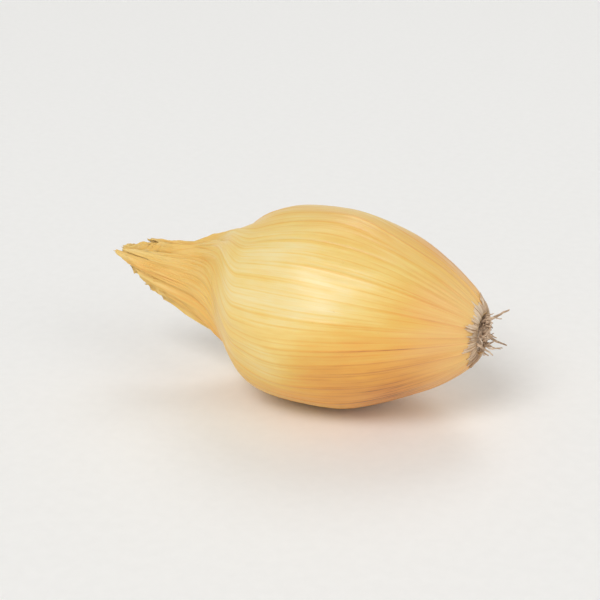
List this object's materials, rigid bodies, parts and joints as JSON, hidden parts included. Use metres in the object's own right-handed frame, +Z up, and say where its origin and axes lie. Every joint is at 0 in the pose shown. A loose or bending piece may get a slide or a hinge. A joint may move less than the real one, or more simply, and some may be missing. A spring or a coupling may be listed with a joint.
{
  "type": "onion set",
  "caption": "Small dry onion bulb for planting, lying on its side: pear-shaped golden body, flattened papery neck at one end, corky root plate with short dry rootlets at the other.",
  "frame": {"origin": "middle of the small flat spot under the belly that the bulb rests on", "axes": "+Z up; +X along the bulb's long axis, from the papery neck towards the root plate"},
  "size_m": [0.0382, 0.0188, 0.0179],
  "materials": {
    "onion_skin": "thin dry onion skin with a satin gloss, pale cream to golden and copper, with fine veins from root to neck",
    "dry_root": "matt corky root plate and dry fibrous rootlets, grey tan to brown"
  },
  "bodies": {
    "root": {"bulb": "onion_skin", "root_tuft": "dry_root"}
  },
  "joints": []
}
